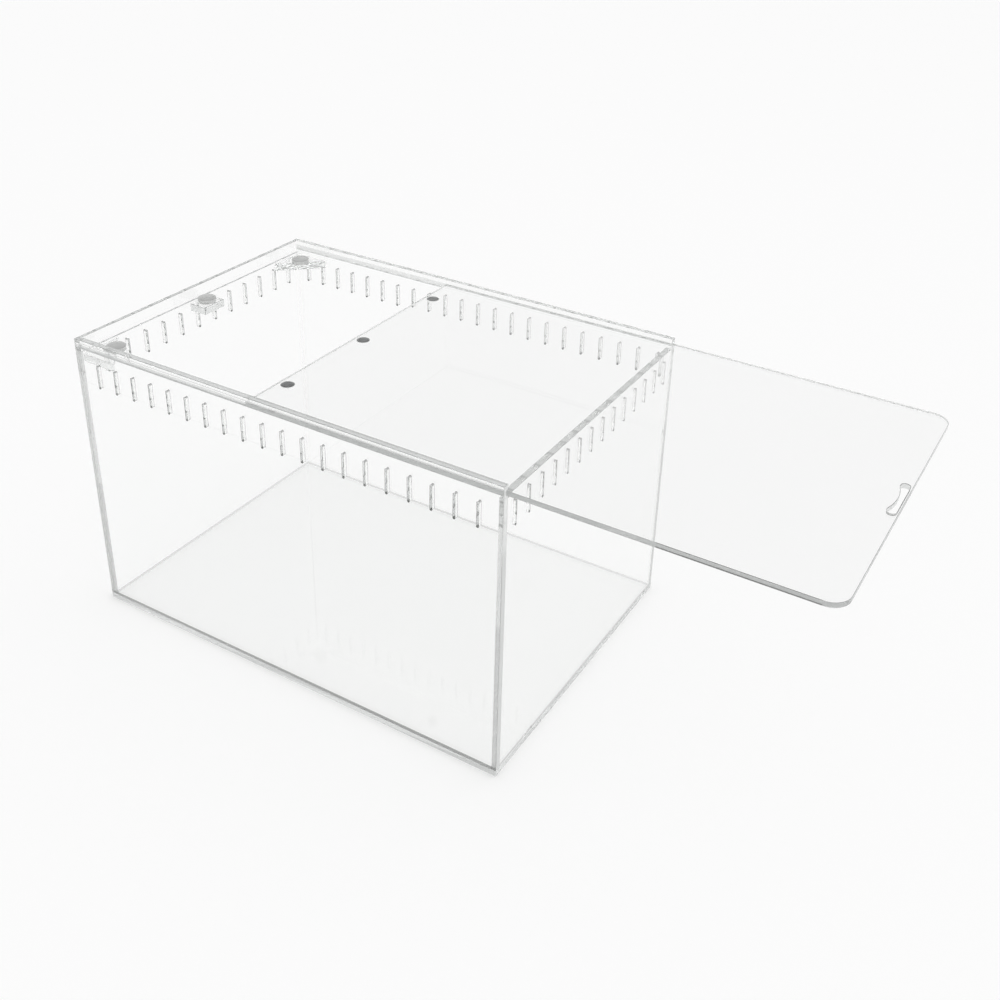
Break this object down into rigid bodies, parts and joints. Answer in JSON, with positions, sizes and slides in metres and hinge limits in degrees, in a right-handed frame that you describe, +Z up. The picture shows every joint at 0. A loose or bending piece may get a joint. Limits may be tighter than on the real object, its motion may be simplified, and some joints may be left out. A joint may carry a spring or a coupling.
{
  "type": "terrarium",
  "caption": "Clear acrylic spider terrarium: a glued box with vent slots along its upper edges and a sliding lid, guided in grooves and held shut by magnets.",
  "frame": {"origin": "the middle of the base panel's underside", "axes": "+X along the tank's length, the way the lid slides open; +Y to the back wall; +Z up"},
  "size_m": [0.4689, 0.205, 0.191],
  "materials": {
    "tank_acrylic": "clear polished acrylic sheet with cut and glued edges",
    "bracket_acrylic": "clear acrylic with saw-cut edges",
    "lid_acrylic": "clear polished acrylic sheet with laser-cut edges",
    "tank_magnet": "bright nickel plate",
    "lid_magnet": "dark nickel plate"
  },
  "bodies": {
    "tank": {"base_panel": "tank_acrylic", "front_wall": "tank_acrylic", "back_wall": "tank_acrylic", "left_wall": "tank_acrylic", "right_wall": "tank_acrylic", "front_gusset": "bracket_acrylic", "back_gusset": "bracket_acrylic", "middle_magnet_block": "bracket_acrylic", "front_tank_magnet": "tank_magnet", "middle_tank_magnet": "tank_magnet", "back_tank_magnet": "tank_magnet"},
    "lid": {"sliding_lid": "lid_acrylic", "front_lid_magnet": "lid_magnet", "middle_lid_magnet": "lid_magnet", "back_lid_magnet": "lid_magnet"}
  },
  "joints": [
    {"name": "lid_slide", "type": "slide", "parent": "tank", "child": "lid", "axis": [1, 0, 0], "range_m": [-0.1297, 0.1472]}
  ]
}
